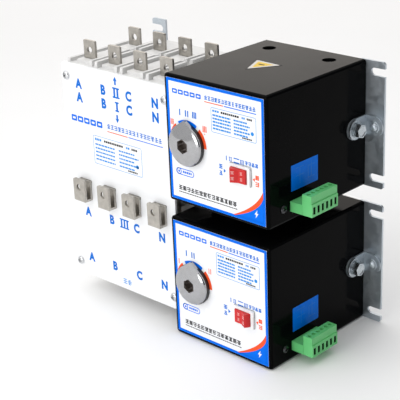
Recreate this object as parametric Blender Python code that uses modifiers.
"""Three-source, four-pole automatic transfer switch, built as separate named pieces.

Two changeover switches stand one above the other behind a single white front plate. Each is driven by its
own black operator box on its right. Every unit is described in its own unit frame, in millimetres:
x runs right from the seam between the switch and the box, depth runs back from the front face of the box,
and z runs up from the top of the box, so most z values are negative. place() turns that into world metres,
with the origin at the centre of the fixing slots on the mounting plane, the front facing -Y and +Z up.
"""

import math

import bmesh
import bpy
from mathutils import Matrix, Vector

MM = 0.001
GAP = 0.3                                   # clearance between neighbouring pieces

# Overall layout
BOX_W, BOX_H, BOX_D = 103.0, 104.0, 118.0   # operator box
UNIT_PITCH = 118.0                          # from one unit to the one below
PLATE_T = 2.0                               # zinc-plated sheet of brackets and back plates
MOUNT_DEPTH = BOX_D + GAP + PLATE_T         # the mounting plane, measured from the box front
SEAM_X = 6.0                                # seam between switches and boxes, from the origin
TOP_Z = (UNIT_PITCH + BOX_H) / 2            # top of the upper box
UNITS = {"upper": 0, "lower": 1}

# Operator box
WALL = 2.5
FRONT_WALL = 3.7
EDGE_ROUND = 2.2
PANEL_RIM, PANEL_T, RECESS_D = 2.4, 0.8, 1.2
KNOB_X, KNOB_Z = 23.3, -53.1                # knob axis, which is also the drive axis
KNOB_R, KNOB_TIP_R = 16.7, 20.2
HUB_R, SHAFT_R, SPIGOT_R = 5.5, 5.0, 3.0
SOCKET_AF, SOCKET_D = 10.4, 6.0             # hexagonal socket for the hand crank
ROCKER_X, ROCKER_Z, ROCKER_PIVOT = 76.5, -65.2, -0.7
BEZEL_W, BEZEL_H, BEZEL_T = 21.0, 15.4, 2.0
CUTOUT_W, CUTOUT_H = 19.8, 13.8             # opening in the cover for the rocker's housing
ROCKER_R, ROCKER_H, ROCKER_TILT = 7.8, 11.0, 14.0
ROTOR_DEPTH = 59.5                          # axis of the contact shaft, also where the case splits
GEAR_DEPTH, GEAR_T, MODULE = 33.5, 7.0, 1.5
GEAR_TEETH, PINION_TEETH, BEVEL_TEETH = 24, 10, 16
PINION_ANGLE = 30.0                         # direction from the knob axis to the motor axis
BEVEL_R, BEVEL_FACE = 12.0, 6.0
MOTOR_R, MOTOR_FRONT, MOTOR_BACK = 18.0, 7.0, 29.6
TERM_PITCH, TERM_WAYS = 5.08, 6             # pluggable control terminal
PLUG_DEPTH, PLUG_W = 25.2, 31.1
PLUG_TOP, PLUG_BOTTOM, HEADER_TOP = -79.7, -96.2, -88.2
HEADER_END, PLUG_END = 114.0, 123.6
BOARD_X, BOARD_T = 94.4, 1.6
COVER_SCREWS = ((20.5, 100.0), (81.0, 100.0))
SINK_R, SINK_D = 5.6, 4.0                   # the wells in the lid that the cover screws sit in

# Brackets
BRACKET_X, BRACKET_OUT, BRACKET_W = 98.0, 120.5, 16.5
SLOT_R, SLOT_FROM_END, SLOT_L = 3.1, 8.5, 13.0
LEFT_BRACKET_X = -115.6
STRAP_R, STRAP_T, STRAP_Z = 8.4, 1.5, -52.3
BOLT_DEPTH, RIVET_X = 101.9, 112.1

# Switches
POLE_PITCH = 30.0
POLES = "ABCN"
POLE_X = [-107.3 + POLE_PITCH * i for i in range(len(POLES))]
CASE_LEFT, CASE_RIGHT, CASE_TOP, CASE_BOTTOM = -124.0, -0.6, -14.0, -88.0
CASE_FRONT, CASE_BACK, CASE_WALL = 8.3, 117.9, 3.0
RIB_W, RIB_TOP, END_RIB_TOP, RIB_FRONT = 3.2, -9.0, -11.0, 10.2
RIB_BREAK, SHELF_FRONT, SHELF_TOP = 54.0, 85.0, -18.0   # the front ribs' rear end, and the low rear shelf
SADDLE_W, SADDLE_TOP, SADDLE_FRONT, SADDLE_BACK = 17.0, -11.5, 14.0, 80.0   # raised floor of each channel
CHAMBER_W = 25.0
SIDE_RECESS, GROOVE_D = 0.8, 1.6            # end wall's moulded panel, lines between the poles behind
CASE_SCREWS = ((-92.3, -26.0), (-32.3, -26.0), (-92.3, -80.0), (-32.3, -80.0))
FRONT_ROW, REAR_ROW = 21.6, 73.0            # depth of the terminal rows
TAB_W, TAB_T, TAB_TOP, TAB_FOOT = 14.0, 2.0, 4.0, -26.0
HOLE_R, HOLE_DROP = 3.0, 8.3                # bolt hole of a terminal, and its depth below the tab's top
TAB_STEP = 0.3                                # a tab's front face sits back this much inside the case
LOAD_TAB_BOTTOM, LOAD_HOLE_DROP = -101.0, 6.5
CONTACT_TOP = -78.0                         # inner end of the load tabs and link bars
BLADE_REACH, BLADE_W, BLADE_T = 23.0, 12.0, 4.0
CONTACT_REACH, CONTACT_Z = 21.5, -43.5      # fixed contacts, met by the blade's tip at 60 degrees

# Front plate and the straps of the third source
SHEET_LEFT, SHEET_RIGHT, SHEET_TOP, SHEET_BOTTOM = -128.0, -0.3, -13.5, -205.7
SHEET_FRONT, SHEET_T, SHEET_ROUND = 6.0, 2.0, 3.0
SHEET_SCREWS = ((-122.0, -24.8), (-6.3, -24.8), (-122.0, -194.8), (-6.3, -194.8))
STRAP_FRONT, STRIP_T = -2.5, 2.0
STRIP_TOP, STRIP_BOTTOM = -112.0, -132.0
STRIP_OVER = -116.5                         # underside of the run through the front plate

COLOURS = {
    "white_plastic": ((0.86, 0.86, 0.85), 0.45, 0.0),
    "case_plastic": ((0.62, 0.61, 0.59), 0.5, 0.0),
    "tinned_copper": ((0.60, 0.57, 0.52), 0.35, 1.0),
    "copper": ((0.72, 0.40, 0.25), 0.35, 1.0),
    "black_cover": ((0.02, 0.02, 0.022), 0.3, 0.0),
    "panel_print": ((0.88, 0.88, 0.88), 0.4, 0.0),
    "knob_metal": ((0.55, 0.55, 0.56), 0.25, 1.0),
    "zinc": ((0.50, 0.53, 0.57), 0.4, 1.0),
    "steel": ((0.45, 0.45, 0.46), 0.35, 1.0),
    "red_rocker": ((0.70, 0.03, 0.03), 0.35, 0.0),
    "green_terminal": ((0.10, 0.45, 0.16), 0.4, 0.0),
    "board_green": ((0.03, 0.18, 0.08), 0.5, 0.0),
    "gear_plastic": ((0.80, 0.78, 0.70), 0.5, 0.0),
}


def clear_scene():
    for old in list(bpy.data.objects):
        bpy.data.objects.remove(old, do_unlink=True)


def make_collection(name):
    group = bpy.data.collections.new(name)
    bpy.context.scene.collection.children.link(group)
    return group


def make_material(piece, look):
    colour, roughness, metallic = COLOURS[look]
    surface = bpy.data.materials.new(piece + "_" + look)
    surface.use_nodes = True
    shader = surface.node_tree.nodes["Principled BSDF"]
    shader.inputs["Base Color"].default_value = (*colour, 1.0)
    shader.inputs["Roughness"].default_value = roughness
    shader.inputs["Metallic"].default_value = metallic
    return surface


def place(x, depth, z, unit=0):
    """World position, in metres, of a point in a unit's frame."""
    return Vector((SEAM_X + x, depth - MOUNT_DEPTH, TOP_Z + z - unit * UNIT_PITCH)) * MM


def arc(cu, cv, radius, start, end, steps):
    """Points on an arc, with its angles in degrees."""
    turn = (end - start) / steps
    return [(cu + radius * math.cos(math.radians(start + turn * i)),
             cv + radius * math.sin(math.radians(start + turn * i))) for i in range(steps + 1)]


def rounded_rectangle(left, bottom, right, top, radius, steps=3):
    return (arc(right - radius, top - radius, radius, 0, 90, steps)
            + arc(left + radius, top - radius, radius, 90, 180, steps)
            + arc(left + radius, bottom + radius, radius, 180, 270, steps)
            + arc(right - radius, bottom + radius, radius, 270, 360, steps))


class Builder:
    """Makes pieces and cutters in the frame of one unit."""

    def __init__(self, parts, cutters, unit=0):
        self.parts = parts
        self.cutters = cutters
        self.unit = unit

    def finish(self, name, mesh, look):
        """Link a mesh as a piece, or as a hidden cutter where it has no look."""
        piece = bpy.data.objects.new(name, mesh)
        if look:
            mesh.materials.append(make_material(name, look))
            self.parts.objects.link(piece)
        else:
            self.cutters.objects.link(piece)
            piece.hide_render = True
            piece.display_type = "WIRE"
        return piece

    def block(self, name, low, high, look=None):
        a = place(*low, self.unit)
        b = place(*high, self.unit)
        mesh = bpy.data.meshes.new(name)
        bm = bmesh.new()
        size = Matrix.Diagonal((abs(b.x - a.x), abs(b.y - a.y), abs(b.z - a.z), 1.0))
        bmesh.ops.create_cube(bm, size=1.0, matrix=Matrix.Translation((a + b) / 2) @ size)
        bm.to_mesh(mesh)
        bm.free()
        return self.finish(name, mesh, look)

    def prism(self, name, outline, axis, start, end, look=None):
        """Extrude an outline along x (depth, z), depth (x, z) or z (x, depth)."""
        point = {"x": lambda u, v, w: (w, u, v),
                 "depth": lambda u, v, w: (u, w, v),
                 "z": lambda u, v, w: (u, v, w)}[axis]
        mesh = bpy.data.meshes.new(name)
        bm = bmesh.new()
        corners = [bm.verts.new(place(*point(u, v, start), self.unit)) for u, v in outline]
        face = bm.faces.new(corners)
        travel = place(*point(0, 0, end), self.unit) - place(*point(0, 0, start), self.unit)
        moved = bmesh.ops.extrude_face_region(bm, geom=[face])["geom"]
        bmesh.ops.translate(bm, vec=travel, verts=[v for v in moved if isinstance(v, bmesh.types.BMVert)])
        bmesh.ops.recalc_face_normals(bm, faces=bm.faces)
        bm.to_mesh(mesh)
        bm.free()
        return self.finish(name, mesh, look)

    def rod(self, name, axis, centre, start, end, radius, look=None, segments=24, end_radius=None, turn=0.0):
        """A cylinder or cone along x, depth or z, with its centre given by the other two values."""
        u, v = centre
        first, last = {"x": ((start, u, v), (end, u, v)),
                       "depth": ((u, start, v), (u, end, v)),
                       "z": ((u, v, start), (u, v, end))}[axis]
        a, b = place(*first, self.unit), place(*last, self.unit)
        along = (b - a).normalized()
        aim = Vector((0, 0, 1)).rotation_difference(along).to_matrix().to_4x4()
        spin = Matrix.Rotation(math.radians(turn), 4, "Z")
        mesh = bpy.data.meshes.new(name)
        bm = bmesh.new()
        bmesh.ops.create_cone(bm, cap_ends=True, segments=segments, radius1=radius * MM,
                              radius2=(radius if end_radius is None else end_radius) * MM,
                              depth=(b - a).length, matrix=Matrix.Translation((a + b) / 2) @ aim @ spin)
        bm.to_mesh(mesh)
        bm.free()
        piece = self.finish(name, mesh, look)
        if look:
            smooth(piece)
        return piece


def smooth(piece, angle=35.0):
    piece.data.shade_smooth()
    piece.data.set_sharp_from_angle(angle=math.radians(angle))


def combine(target, tools, operation):
    for tool in tools:
        step = target.modifiers.new(tool.name, "BOOLEAN")
        step.operation = operation
        step.solver = "EXACT"
        step.object = tool


def cut(target, *tools):
    combine(target, tools, "DIFFERENCE")


def add(target, *tools):
    combine(target, tools, "UNION")


def round_edges(piece, width, segments=2):
    step = piece.modifiers.new("rounding", "BEVEL")
    step.width = width * MM
    step.segments = segments
    step.limit_method = "ANGLE"


def pivot(piece, point):
    """Put a piece's origin on its joint's axis and leave its shape where it is."""
    piece.data.transform(Matrix.Translation(-point))
    piece.location = point


def toothed_outline(teeth, phase, tip_r, root_r):
    """Outline of a spur gear with straight flanks; phase is the angle of one tooth's middle, in degrees."""
    pitch = 360.0 / teeth
    points = []
    for i in range(teeth):
        middle = phase + pitch * i
        for radius, offset in ((root_r, -0.27), (tip_r, -0.11), (tip_r, 0.11), (root_r, 0.27)):
            angle = math.radians(middle + pitch * offset)
            points.append((radius * math.cos(angle), radius * math.sin(angle)))
    return points


def bevel_wheel(name, apex, axis, side, phase):
    """A 1:1 bevel wheel: a loft from a toothed rim on the back cone to a smaller one nearer the apex.

    axis points from the wheel to the apex, side is where angle 0 lies, and phase is one tooth's angle.
    """
    cross = axis.cross(side)
    slope = math.sqrt(0.5)
    rings = []
    pitch = 360.0 / BEVEL_TEETH
    inner = 1.0 - BEVEL_FACE / (BEVEL_R / slope)
    mesh = bpy.data.meshes.new(name)
    bm = bmesh.new()
    for scale in (1.0, inner):
        ring = []
        for i in range(BEVEL_TEETH):
            for height, offset in ((-0.9, -0.24), (0.8, -0.11), (0.8, 0.11), (-0.9, 0.24)):
                angle = math.radians(phase + pitch * (i + offset))
                lift = height * MODULE * slope
                spoke = side * math.cos(angle) + cross * math.sin(angle)
                # the rim lies on the back cone, so a tooth leans outwards and towards the apex's plane
                point = spoke * (BEVEL_R + lift) + axis * (lift - BEVEL_R)
                ring.append(bm.verts.new(apex + point * scale * MM))
        rings.append(ring)
    count = len(rings[0])
    for i in range(count):
        j = (i + 1) % count
        bm.faces.new((rings[0][i], rings[0][j], rings[1][j], rings[1][i]))
    for ring, distance in ((rings[0], BEVEL_R + 1.2), (rings[1], (BEVEL_R + 1.0) * inner)):
        hub = bm.verts.new(apex - axis * distance * MM)
        for i in range(count):
            bm.faces.new((ring[i], ring[(i + 1) % count], hub))
    bmesh.ops.recalc_face_normals(bm, faces=bm.faces)
    bm.to_mesh(mesh)
    bm.free()
    return mesh


# Operator box -------------------------------------------------------------------------------------

def make_cover(b, unit_name):
    cover = b.block(unit_name + "_cover", (0, 0, -BOX_H), (BOX_W, BOX_D + 10, 0), "black_cover")
    round_edges(cover, EDGE_ROUND)
    open_back = b.block(unit_name + "_cover_open_back", (-5, BOX_D, -BOX_H - 5), (BOX_W + 5, BOX_D + 15, 5))
    hollow = b.block(unit_name + "_cover_hollow", (WALL, FRONT_WALL, WALL - BOX_H),
                     (BOX_W - WALL, BOX_D + 5, -WALL))
    recess = b.block(unit_name + "_cover_recess", (PANEL_RIM, -5, PANEL_RIM - BOX_H),
                     (BOX_W - PANEL_RIM, RECESS_D, -PANEL_RIM))
    knob_hole = b.rod(unit_name + "_cover_knob_hole", "depth", (KNOB_X, KNOB_Z), -1, FRONT_WALL + 2,
                      HUB_R + 0.6)
    rocker_hole = b.block(unit_name + "_cover_rocker_hole",
                          (ROCKER_X - CUTOUT_W / 2, -1, ROCKER_Z - CUTOUT_H / 2),
                          (ROCKER_X + CUTOUT_W / 2, FRONT_WALL + 2, ROCKER_Z + CUTOUT_H / 2))
    shaft_hole = b.rod(unit_name + "_cover_shaft_hole", "x", (ROTOR_DEPTH, KNOB_Z), -2, WALL + 2, 6.5)
    header_hole = b.block(unit_name + "_cover_header_hole",
                          (BOX_W - WALL - 2, PLUG_DEPTH - 0.4, PLUG_BOTTOM - 0.4),
                          (BOX_W + 2, PLUG_DEPTH + PLUG_W + 0.4, HEADER_TOP + 0.4))
    bolt_hole = b.rod(unit_name + "_cover_bolt_hole", "x", (BOLT_DEPTH, STRAP_Z), BOX_W - WALL - 2, BOX_W + 2,
                      3.2)
    cut(cover, open_back, hollow, recess, knob_hole, rocker_hole, shaft_hole, header_hole, bolt_hole)
    for i, spot in enumerate(COVER_SCREWS):
        add(cover, b.rod(f"{unit_name}_cover_boss_{i}", "z", spot, -SINK_D - 1.2, -WALL + 1, SINK_R + 1.4))
        sink = b.rod(f"{unit_name}_cover_sink_{i}", "z", spot, -SINK_D, 2, SINK_R)
        hole = b.rod(f"{unit_name}_cover_screw_hole_{i}", "z", spot, -SINK_D - 2, 0, 2.2, segments=16)
        cut(cover, sink, hole)


def make_panel(b, unit_name):
    inset = PANEL_RIM + GAP
    panel = b.block(unit_name + "_panel", (inset, 0.1, inset - BOX_H), (BOX_W - inset, 0.1 + PANEL_T, -inset),
                    "panel_print")
    knob_hole = b.rod(unit_name + "_panel_knob_hole", "depth", (KNOB_X, KNOB_Z), -3, 3, HUB_R + 0.6)
    rocker_hole = b.block(unit_name + "_panel_rocker_hole",
                          (ROCKER_X - CUTOUT_W / 2, -3, ROCKER_Z - CUTOUT_H / 2),
                          (ROCKER_X + CUTOUT_W / 2, 3, ROCKER_Z + CUTOUT_H / 2))
    cut(panel, knob_hole, rocker_hole)


def make_chassis(b, unit_name):
    """Back plate with a top flange, a bottom flange and the wall that carries the shafts."""
    chassis = b.block(unit_name + "_chassis", (0.6, BOX_D + GAP, 0.6 - BOX_H),
                      (BRACKET_X - GAP, MOUNT_DEPTH, -0.6),
                      "steel")
    top, bottom, sheet, back = -SINK_D - 1.5, WALL + 0.4 - BOX_H, 1.5, BOX_D + 1.0
    wall_front, wall_back = 30.0, 32.0
    outline = [(back, top), (90, top), (90, top - sheet), (back - sheet, top - sheet),
               (back - sheet, bottom + sheet), (wall_back, bottom + sheet), (wall_back, -20),
               (wall_front, -20), (wall_front, bottom), (back, bottom)]
    frame = b.prism(unit_name + "_chassis_frame", outline, "x", 3.0, 92.0)
    add(chassis, frame)
    motor_x, motor_z = motor_axis()
    bearing = b.rod(unit_name + "_chassis_bearing", "depth", (KNOB_X, KNOB_Z), 25, 36, SHAFT_R + GAP)
    passage = b.rod(unit_name + "_chassis_passage", "depth", (motor_x, motor_z), 25, 36, 4.0)
    cut(chassis, bearing, passage)
    for i, spot in enumerate(COVER_SCREWS):
        cut(chassis, b.rod(f"{unit_name}_chassis_tap_{i}", "z", spot, -10, 0, 1.8, segments=16))


def make_knob(b, unit_name):
    """Round metal knob with a pointer and a hexagonal socket; it is turned about its shaft's axis."""
    base_r, base_back, disc_back = 15.4, -0.2, -1.5
    rim_front, crown_front, hub_back = -3.9, -6.7, 6.3
    dome = [(0.0, crown_front), (8.0, -6.6), (12.0, -6.3), (14.5, -5.7), (16.0, -4.9), (KNOB_R, rim_front)]
    profile = dome + [(KNOB_R, disc_back), (base_r, disc_back), (base_r, base_back), (HUB_R, base_back),
                      (HUB_R, hub_back), (0.0, hub_back)]
    mesh = bpy.data.meshes.new(unit_name + "_knob")
    bm = bmesh.new()
    corners = [bm.verts.new((r * MM, -depth * MM, 0.0)) for r, depth in profile]
    for first, second in zip(corners, corners[1:]):
        bm.edges.new((first, second))
    bm.to_mesh(mesh)
    bm.free()
    # the profile's Y is the outward direction, so the Screw turns about Y and +Y ends up at the world's -Y
    mesh.transform(Matrix.Rotation(math.pi, 4, "X"))
    knob = b.finish(unit_name + "_knob", mesh, "knob_metal")
    knob.location = place(KNOB_X, 0, KNOB_Z, b.unit)
    turn = knob.modifiers.new("turn", "SCREW")
    turn.axis = "Y"
    turn.steps = turn.render_steps = 40
    turn.use_merge_vertices = True
    turn.merge_threshold = 0.00001
    turn.use_normal_calculate = True
    half = math.degrees(math.acos(KNOB_R / KNOB_TIP_R))
    wedge = [(KNOB_X, KNOB_Z)] + arc(KNOB_X, KNOB_Z, KNOB_R - 0.05, 90 - half, 90 - half, 1)[:1]
    wedge += [(KNOB_X, KNOB_Z + KNOB_TIP_R)] + arc(KNOB_X, KNOB_Z, KNOB_R - 0.05, 90 + half, 90 + half, 1)[:1]
    pointer = b.prism(unit_name + "_knob_pointer", wedge, "depth", disc_back, crown_front + 0.3)
    # the pointer's flat slopes from the crown, above the socket, down to the tip
    flat_from, tip_depth = 6.0, -3.7
    slope = (tip_depth - crown_front - 0.2) / (KNOB_TIP_R - flat_from)
    low, high = flat_from - 3, KNOB_TIP_R + 3
    face = [(crown_front + 0.2 + slope * (low - flat_from), KNOB_Z + low),
            (crown_front + 0.2 + slope * (high - flat_from), KNOB_Z + high),
            (crown_front - 5, KNOB_Z + high), (crown_front - 5, KNOB_Z + low)]
    flat = b.prism(unit_name + "_knob_flat", face, "x", KNOB_X - 18, KNOB_X + 18)
    socket = b.rod(unit_name + "_knob_socket", "depth", (KNOB_X, KNOB_Z), crown_front - 2,
                   crown_front + SOCKET_D,
                   SOCKET_AF / math.sqrt(3), segments=6)
    bore = b.rod(unit_name + "_knob_bore", "depth", (KNOB_X, KNOB_Z), 1.2, hub_back + 2, SPIGOT_R + GAP)
    add(knob, pointer)
    cut(knob, flat, socket, bore)


def motor_axis():
    reach = MODULE * (GEAR_TEETH + PINION_TEETH) / 2
    angle = math.radians(PINION_ANGLE)
    return KNOB_X + reach * math.cos(angle), KNOB_Z + reach * math.sin(angle)


def gear_prism(b, name, teeth, phase, centre, start, end, look):
    radius = MODULE * teeth / 2
    outline = toothed_outline(teeth, phase, radius + 0.8 * MODULE, radius - 1.1 * MODULE)
    return b.prism(name, [(centre[0] + u, centre[1] + v) for u, v in outline], "depth", start, end, look)


def make_drive_gear(b, unit_name):
    """Spur gear on the knob's shaft, with a bevel wheel at the shaft's rear end."""
    centre = (KNOB_X, KNOB_Z)
    gear = gear_prism(b, unit_name + "_drive_gear", GEAR_TEETH, PINION_ANGLE, centre, GEAR_DEPTH,
                      GEAR_DEPTH + GEAR_T, "gear_plastic")
    shaft = b.rod(unit_name + "_drive_gear_shaft", "depth", centre, 6.6, ROTOR_DEPTH - BEVEL_R + 1.0, SHAFT_R)
    spigot = b.rod(unit_name + "_drive_gear_spigot", "depth", centre, 1.6, 8.0, SPIGOT_R)
    apex = place(KNOB_X, ROTOR_DEPTH, KNOB_Z, b.unit)
    mesh = bevel_wheel(unit_name + "_drive_bevel", apex, Vector((0, 1, 0)), Vector((-1, 0, 0)), 0.0)
    add(gear, shaft, spigot, b.finish(unit_name + "_drive_bevel", mesh, None))
    pivot(gear, place(KNOB_X, GEAR_DEPTH, KNOB_Z, b.unit))


def make_motor(b, unit_name):
    centre = motor_axis()
    motor = b.rod(unit_name + "_motor", "depth", centre, MOTOR_FRONT, MOTOR_BACK, MOTOR_R, "steel",
                  segments=32)
    boss_hole = b.rod(unit_name + "_motor_bearing", "depth", centre, 14, MOTOR_BACK + 2, 2.5 + GAP)
    cut(motor, boss_hole)
    # the pinion's middle gap faces the gear
    phase = PINION_ANGLE + 180.0 + 180.0 / PINION_TEETH
    pinion = gear_prism(b, unit_name + "_pinion", PINION_TEETH, phase, centre, GEAR_DEPTH - 0.5,
                        GEAR_DEPTH + GEAR_T + 0.5, "steel")
    add(pinion, b.rod(unit_name + "_pinion_shaft", "depth", centre, 15, GEAR_DEPTH + 2, 2.5))
    pivot(pinion, place(centre[0], GEAR_DEPTH, centre[1], b.unit))


def make_control_terminal(b, unit_name):
    """Circuit board, its fixed header through the cover's wall, and the six-way plug in the header."""
    b.block(unit_name + "_circuit_board", (BOARD_X, 12, 6 - BOX_H), (BOARD_X + BOARD_T, 108, -10),
            "board_green")
    near, far = PLUG_DEPTH, PLUG_DEPTH + PLUG_W
    header = b.block(unit_name + "_terminal_header", (BOARD_X + BOARD_T + GAP, near, PLUG_BOTTOM),
                     (HEADER_END, far, HEADER_TOP), "green_terminal")
    lip = 1.2
    cavity = b.block(unit_name + "_header_cavity", (HEADER_END - 9.4, near + lip, PLUG_BOTTOM + lip),
                     (HEADER_END + 2, far - lip, HEADER_TOP - lip))
    cut(header, cavity)
    plug = b.block(unit_name + "_terminal_plug", (HEADER_END + GAP, near, PLUG_BOTTOM),
                   (PLUG_END, far, PLUG_TOP),
                   "green_terminal")
    tongue = b.block(unit_name + "_plug_tongue",
                     (HEADER_END - 9.0, near + lip + GAP, PLUG_BOTTOM + lip + GAP),
                     (HEADER_END + 2, far - lip - GAP, HEADER_TOP - lip - GAP))
    brow = b.block(unit_name + "_plug_brow", (PLUG_END - 0.8, near - 2, PLUG_TOP - 6.4),
                   (PLUG_END + 2, far + 2, PLUG_TOP + 2))
    add(plug, tongue)
    cut(plug, brow)
    margin = (PLUG_W - TERM_PITCH * (TERM_WAYS - 1)) / 2
    for i in range(TERM_WAYS):
        depth = near + margin + TERM_PITCH * i
        mouth = b.block(f"{unit_name}_plug_mouth_{i}", (PLUG_END - 6, depth - 1.4, PLUG_BOTTOM + 1.8),
                        (PLUG_END + 2, depth + 1.4, PLUG_BOTTOM + 7.8))
        driver = b.rod(f"{unit_name}_plug_driver_{i}", "z", (118.4, depth), -83.2, PLUG_TOP + 2, 1.7,
                       segments=12)
        cut(plug, mouth, driver)
    pivot(plug, place(HEADER_END, (near + far) / 2, (PLUG_BOTTOM + HEADER_TOP) / 2, b.unit))


def make_rocker(b, unit_name, lean):
    """Snap-in bezel with its housing, and the rocker, which rests tipped to one side."""
    half_w, half_h = BEZEL_W / 2, BEZEL_H / 2
    outline = rounded_rectangle(ROCKER_X - half_w, ROCKER_Z - half_h, ROCKER_X + half_w, ROCKER_Z + half_h,
                                1.2, 2)
    bezel = b.prism(unit_name + "_rocker_bezel", outline, "depth", -BEZEL_T - 0.2, -0.2, "white_plastic")
    body_w, body_h = CUTOUT_W / 2 - GAP, CUTOUT_H / 2 - GAP
    body = b.block(unit_name + "_rocker_body", (ROCKER_X - body_w, -1.5, ROCKER_Z - body_h),
                   (ROCKER_X + body_w, 16, ROCKER_Z + body_h))
    pocket_w, pocket_h = ROCKER_R + GAP, ROCKER_H / 2 + GAP
    pocket = b.block(unit_name + "_rocker_pocket", (ROCKER_X - pocket_w, -5, ROCKER_Z - pocket_h),
                     (ROCKER_X + pocket_w, 13, ROCKER_Z + pocket_h))
    add(bezel, body)
    cut(bezel, pocket)
    # in plan, two front flats meet in a shallow valley, and both ends are arcs about the pivot
    corner, back = 34.0, -25.0
    valley = ROCKER_R * math.sin(math.radians(corner)) - ROCKER_R * math.cos(math.radians(corner)) * math.tan(
        math.radians(ROCKER_TILT))
    section = [(0.0, valley)] + arc(0, 0, ROCKER_R, 180 - corner, 180 - back, 5)
    section += arc(0, 0, ROCKER_R, back, corner, 5)
    angle = math.radians(lean)
    tilted = [(ROCKER_X + u * math.cos(angle) + v * math.sin(angle),
               ROCKER_PIVOT + u * math.sin(angle) - v * math.cos(angle)) for u, v in section]
    rocker = b.prism(unit_name + "_rocker", tilted, "z", ROCKER_Z - ROCKER_H / 2, ROCKER_Z + ROCKER_H / 2,
                     "red_rocker")
    pivot(rocker, place(ROCKER_X, ROCKER_PIVOT, ROCKER_Z, b.unit))


def bracket_outline(inner, outer):
    """Flat fixing bracket: a strip with a slot near each end, open on its outer side."""
    away = 1 if outer > inner else -1
    points = [(inner, 0.0)]
    for z, ear in ((-SLOT_FROM_END, 1), (SLOT_FROM_END - BOX_H, -1)):
        bend = [(outer - away * SLOT_L + away * SLOT_R - away * SLOT_R * math.cos(t),
                 z + ear * SLOT_R * math.sin(t))
                for t in [math.radians(90 - 30 * i) for i in range(7)]]
        slot = [(outer, z + ear * SLOT_R)] + bend + [(outer, z - ear * SLOT_R)]
        ear_corner = [(outer - away * 1.5, z + ear * SLOT_FROM_END), (outer, z + ear * (SLOT_FROM_END - 1.5))]
        points += (ear_corner + slot) if ear > 0 else list(reversed(ear_corner + slot))
    return points + [(inner, -BOX_H)]


def make_right_bracket(b, unit_name):
    b.prism(unit_name + "_right_bracket", bracket_outline(BRACKET_X, BRACKET_OUT), "depth",
            BOX_D + GAP, MOUNT_DEPTH, "zinc")
    side_x = BOX_W + GAP
    flat_back = BOX_D
    side_leg = [(flat_back, STRAP_Z + STRAP_R)] + arc(BOLT_DEPTH, STRAP_Z, STRAP_R, 90, 270, 10)
    side_leg += [(flat_back, STRAP_Z - STRAP_R)]
    strap = b.prism(unit_name + "_angle_strap", side_leg, "x", side_x, side_x + STRAP_T, "zinc")
    back_leg = [(side_x, STRAP_Z - STRAP_R)] + arc(RIVET_X, STRAP_Z, STRAP_R, -90, 90, 10)
    back_leg += [(side_x, STRAP_Z + STRAP_R)]
    add(strap, b.prism(unit_name + "_strap_back_leg", back_leg, "depth", flat_back - STRAP_T, flat_back))
    cut(strap, b.rod(unit_name + "_strap_hole", "x", (BOLT_DEPTH, STRAP_Z), BOX_W - 1, BOX_W + 5, 3.2))
    seat = side_x + STRAP_T + GAP
    bolt = b.rod(unit_name + "_hex_bolt", "x", (BOLT_DEPTH, STRAP_Z), seat, seat + 1.3, 8.1, "steel",
                 segments=28)
    spring = b.rod(unit_name + "_bolt_spring_washer", "x", (BOLT_DEPTH, STRAP_Z), seat + 1.0, seat + 2.9, 6.0)
    head = b.rod(unit_name + "_bolt_head", "x", (BOLT_DEPTH, STRAP_Z), seat + 2.6, seat + 7.0,
                 10 / math.sqrt(3),
                 segments=6)
    shank = b.rod(unit_name + "_bolt_shank", "x", (BOLT_DEPTH, STRAP_Z), BOX_W - 6, seat + 1, 2.8,
                  segments=16)
    add(bolt, spring, head, shank)


# Switches -----------------------------------------------------------------------------------------

def case_section():
    """Section of a case across the poles: a box whose top has two ribs between each pair of poles."""
    points = [(CASE_LEFT, CASE_BOTTOM), (CASE_LEFT, END_RIB_TOP), (CASE_LEFT + RIB_W, END_RIB_TOP),
              (CASE_LEFT + RIB_W + 0.3, CASE_TOP)]
    for x in POLE_X[:-1]:
        middle = x + POLE_PITCH / 2
        for rib in (middle - RIB_W, middle + RIB_W):
            points += [(rib - RIB_W / 2 - 0.2, CASE_TOP), (rib - RIB_W / 2 + 0.1, RIB_TOP),
                       (rib + RIB_W / 2 - 0.1, RIB_TOP), (rib + RIB_W / 2 + 0.2, CASE_TOP)]
    return points + [(CASE_RIGHT - RIB_W - 0.3, CASE_TOP), (CASE_RIGHT - RIB_W, END_RIB_TOP),
                     (CASE_RIGHT, END_RIB_TOP), (CASE_RIGHT, CASE_BOTTOM)]


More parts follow.
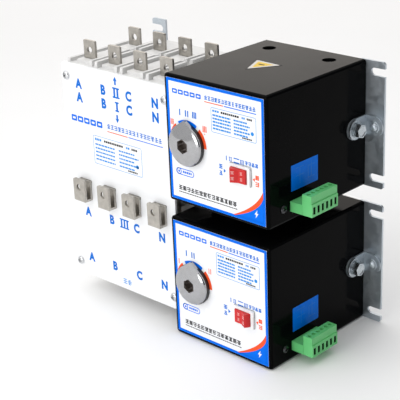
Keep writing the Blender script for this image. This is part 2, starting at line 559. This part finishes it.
def make_case(b, unit_name):
    """A front and a rear half with a chamber for each pole, split in the plane of the contact shaft."""
    split = ROTOR_DEPTH
    spans = {"front": (CASE_FRONT, split - GAP / 2), "rear": (split + GAP / 2, CASE_BACK)}
    above = RIB_TOP + 5
    for half, (start, end) in spans.items():
        name = f"{unit_name}_case_{half}"
        case = b.prism(name, case_section(), "depth", start, end, "case_plastic")
        rib_start = RIB_FRONT if half == "front" else start + GAP
        face = [(start - 5, CASE_TOP), (rib_start, CASE_TOP), (rib_start + 1.6, above), (start - 5, above)]
        cut(case, b.prism(name + "_rib_face", face, "x", CASE_LEFT - 5, CASE_RIGHT + 5))
        if half == "front":
            stop = b.block(name + "_rib_break", (CASE_LEFT + RIB_W + 1, RIB_BREAK, CASE_TOP),
                           (CASE_RIGHT - RIB_W - 1, end + 5, above))
            inner = (start + CASE_WALL, end + 5)
            saddle = (SADDLE_FRONT, end)
            row = FRONT_ROW
        else:
            stop = b.block(name + "_shelf", (CASE_LEFT - 5, SHELF_FRONT, SHELF_TOP),
                           (CASE_RIGHT + 5, end + 5, above))
            inner = (start - 5, end - CASE_WALL)
            saddle = (start, SADDLE_BACK)
            row = REAR_ROW
        cut(case, stop)
        for pole, x in zip(POLES, POLE_X):
            add(case, b.block(f"{name}_saddle_{pole}", (x - SADDLE_W / 2, saddle[0], CASE_TOP - 1),
                              (x + SADDLE_W / 2, saddle[1], SADDLE_TOP)))
        for pole, x in zip(POLES, POLE_X):
            cut(case, b.block(f"{name}_chamber_{pole}",
                              (x - CHAMBER_W / 2, inner[0], CASE_BOTTOM + CASE_WALL),
                              (x + CHAMBER_W / 2, inner[1], SHELF_TOP - CASE_WALL)))
        cut(case, b.rod(name + "_shaft_bore", "x", (ROTOR_DEPTH, KNOB_Z), CASE_LEFT + CASE_WALL,
                        CASE_RIGHT + 5, 6.0))
        cut(case, b.block(name + "_side_recess", (CASE_LEFT - 5, start + 5.7, CASE_BOTTOM + 6),
                          (CASE_LEFT + SIDE_RECESS, end - 5.0, SHELF_TOP - 4)))
        if half == "rear":
            for i, x in enumerate(POLE_X[:-1]):
                middle = x + POLE_PITCH / 2
                cut(case, b.block(f"{name}_pole_groove_{i}",
                                  (middle - 1, CASE_BACK - GROOVE_D, CASE_BOTTOM - 5),
                                  (middle + 1, CASE_BACK + 5, above)))
            for i, (x, z) in enumerate(CASE_SCREWS):
                cut(case, b.rod(f"{name}_screw_well_{i}", "depth", (x, z), CASE_BACK - 2.2, CASE_BACK + 5,
                                3.6))
        reach = TAB_W / 2 + GAP
        slot = (row - TAB_T / 2 - GAP, row + TAB_T / 2 + GAP)
        for pole, x in zip(POLES, POLE_X):
            cut(case, b.block(f"{name}_slot_{pole}", (x - reach, slot[0], SHELF_TOP - CASE_WALL - 2),
                              (x + reach, slot[1], above)))
            if half == "rear":
                cut(case, b.block(f"{name}_outlet_{pole}", (x - reach, slot[0], CASE_BOTTOM - 5),
                                  (x + reach, slot[1], CASE_BOTTOM + CASE_WALL + 2)))


def make_rotor(b, unit_name):
    """Contact shaft with one moving blade for each pole, and the bevel wheel that turns it."""
    centre = (ROTOR_DEPTH, KNOB_Z)
    bevel_back = KNOB_X - BEVEL_R
    rotor = b.rod(unit_name + "_contact_rotor", "x", centre, CASE_LEFT + CASE_WALL + GAP, bevel_back + 1.0,
                  SHAFT_R, "steel", segments=16)
    for pole, x in zip(POLES, POLE_X):
        add(rotor, b.block(f"{unit_name}_rotor_blade_{pole}",
                           (x - BLADE_W / 2, ROTOR_DEPTH - BLADE_T / 2, KNOB_Z - BLADE_REACH),
                           (x + BLADE_W / 2, ROTOR_DEPTH + BLADE_T / 2, KNOB_Z + BLADE_REACH)))
    apex = place(KNOB_X, ROTOR_DEPTH, KNOB_Z, b.unit)
    mesh = bevel_wheel(unit_name + "_rotor_bevel", apex, Vector((1, 0, 0)), Vector((0, -1, 0)),
                       180.0 / BEVEL_TEETH)
    add(rotor, b.finish(unit_name + "_rotor_bevel", mesh, None))
    pivot(rotor, place(KNOB_X, ROTOR_DEPTH, KNOB_Z, b.unit))


def terminal_tab(b, name, x, row, foot_z, reach, contact_z):
    """A tinned bar standing out of the case's top, with a bolt hole, and a foot inside it.

    The foot runs back from the bar's lower end to the depth reach, and turns down to the blade's tip.
    """
    outline = rounded_rectangle(x - TAB_W / 2, foot_z, x + TAB_W / 2, TAB_TOP, 1.1, 2)
    front, back = row - TAB_T / 2, row + TAB_T / 2
    tab = b.prism(name, outline, "depth", front, back, "tinned_copper")
    inset = 1.0
    foot = b.block(name + "_foot", (x - TAB_W / 2 + inset, row, foot_z + 0.5),
                   (x + TAB_W / 2 - inset, reach, foot_z + 2.5))
    contact = b.block(name + "_contact", (x - TAB_W / 2 + inset + 0.1, reach - 2.1, contact_z),
                      (x + TAB_W / 2 - inset - 0.1, reach - 0.1, foot_z + 2.4))
    add(tab, foot, contact)
    cut(tab, b.rod(name + "_hole", "depth", (x, TAB_TOP - HOLE_DROP), front - 3, back + 3, HOLE_R,
                   segments=20),
        b.block(name + "_step", (x - TAB_W, front - 2, foot_z - 5),
                (x + TAB_W, front + TAB_STEP, SADDLE_TOP + GAP)))


def make_upper_terminals(b):
    for pole, x in zip(POLES, POLE_X):
        terminal_tab(b, "terminal_I_" + pole, x, FRONT_ROW, TAB_FOOT - 10.0, ROTOR_DEPTH - CONTACT_REACH,
                     CONTACT_Z)
        terminal_tab(b, "terminal_II_" + pole, x, REAR_ROW, TAB_FOOT, ROTOR_DEPTH + CONTACT_REACH + 2.1,
                     CONTACT_Z)


def make_links_and_load_tabs(upper, lower):
    """Bars from the upper switch's outlets to the lower switch's rear inputs, and the load tabs."""
    front, back = REAR_ROW - TAB_T / 2, REAR_ROW + TAB_T / 2
    for pole, x in zip(POLES, POLE_X):
        upper.block("link_bar_" + pole, (x - TAB_W / 2, front, TAB_FOOT - UNIT_PITCH),
                    (x + TAB_W / 2, back, CONTACT_TOP), "tinned_copper")
        outline = rounded_rectangle(x - TAB_W / 2, LOAD_TAB_BOTTOM, x + TAB_W / 2, CONTACT_TOP, 1.1, 2)
        tab = lower.prism("load_terminal_" + pole, outline, "depth", front, back, "tinned_copper")
        cut(tab, lower.rod("load_hole_" + pole, "depth", (x, LOAD_TAB_BOTTOM + LOAD_HOLE_DROP), front - 3,
                           back + 3,
                           HOLE_R, segments=20),
            lower.block("load_step_" + pole, (x - TAB_W, front - 2, CASE_BOTTOM - GAP),
                        (x + TAB_W, front + TAB_STEP, CONTACT_TOP + 5)))


def make_third_source(b):
    """One bent strip a pole: out of the lower case, forward over the plate's slot, down its face, and up."""
    plate_face = SHEET_FRONT - GAP
    inner_back = FRONT_ROW + TAB_T / 2
    rise_front = STRAP_FRONT
    section = [(inner_back, STRIP_OVER + STRIP_T), (inner_back, TAB_FOOT - UNIT_PITCH),
               (inner_back - STRIP_T, TAB_FOOT - UNIT_PITCH), (inner_back - STRIP_T, STRIP_OVER),
               (plate_face, STRIP_OVER), (plate_face, STRIP_BOTTOM), (rise_front, STRIP_BOTTOM),
               (rise_front, STRIP_BOTTOM + STRIP_T), (plate_face - STRIP_T, STRIP_BOTTOM + STRIP_T),
               (plate_face - STRIP_T, STRIP_OVER + STRIP_T)]
    for pole, x in zip(POLES, POLE_X):
        name = "terminal_III_" + pole
        strap = b.prism(name, section, "x", x - TAB_W / 2, x + TAB_W / 2, "tinned_copper")
        outline = rounded_rectangle(x - TAB_W / 2, STRIP_BOTTOM, x + TAB_W / 2, STRIP_TOP, 1.6, 2)
        front_leg = b.prism(name + "_front_leg", outline, "depth", rise_front, rise_front + STRIP_T)
        add(strap, front_leg)
        cut(strap, b.rod(name + "_hole", "depth", (x, STRIP_TOP - 7.5), rise_front - 3,
                         rise_front + STRIP_T + 1.5,
                         HOLE_R, segments=20))


def make_front_plate(b):
    outline = rounded_rectangle(SHEET_LEFT, SHEET_BOTTOM, SHEET_RIGHT, SHEET_TOP, SHEET_ROUND)
    plate = b.prism("front_plate", outline, "depth", SHEET_FRONT, SHEET_FRONT + SHEET_T, "white_plastic")
    for pole, x in zip(POLES, POLE_X):
        cut(plate, b.block("plate_slot_" + pole, (x - TAB_W / 2 - GAP, SHEET_FRONT - 5, STRIP_OVER - GAP),
                           (x + TAB_W / 2 + GAP, SHEET_FRONT + SHEET_T + 5, STRIP_OVER + STRIP_T + GAP)))
    for i, spot in enumerate(SHEET_SCREWS):
        cut(plate, b.rod(f"plate_screw_hole_{i}", "depth", spot, SHEET_FRONT - 5, SHEET_FRONT + SHEET_T + 5,
                         2.2,
                         segments=16))


def main():
    clear_scene()
    parts = make_collection("automatic_transfer_switch")
    cutters = make_collection("cutters")
    builders = {name: Builder(parts, cutters, unit) for name, unit in UNITS.items()}
    leans = {"upper": ROCKER_TILT, "lower": -ROCKER_TILT}
    for name, b in builders.items():
        make_cover(b, name)
        make_panel(b, name)
        make_chassis(b, name)
        make_knob(b, name)
        make_drive_gear(b, name)
        make_motor(b, name)
        make_control_terminal(b, name)
        make_rocker(b, name, leans[name])
        make_right_bracket(b, name)
        b.prism(name + "_left_bracket", bracket_outline(LEFT_BRACKET_X, LEFT_BRACKET_X - BRACKET_W), "depth",
                BOX_D + GAP, MOUNT_DEPTH, "zinc")
        make_case(b, name)
        make_rotor(b, name)
    make_upper_terminals(builders["upper"])
    make_links_and_load_tabs(builders["upper"], builders["lower"])
    make_third_source(builders["upper"])
    make_front_plate(builders["upper"])


main()
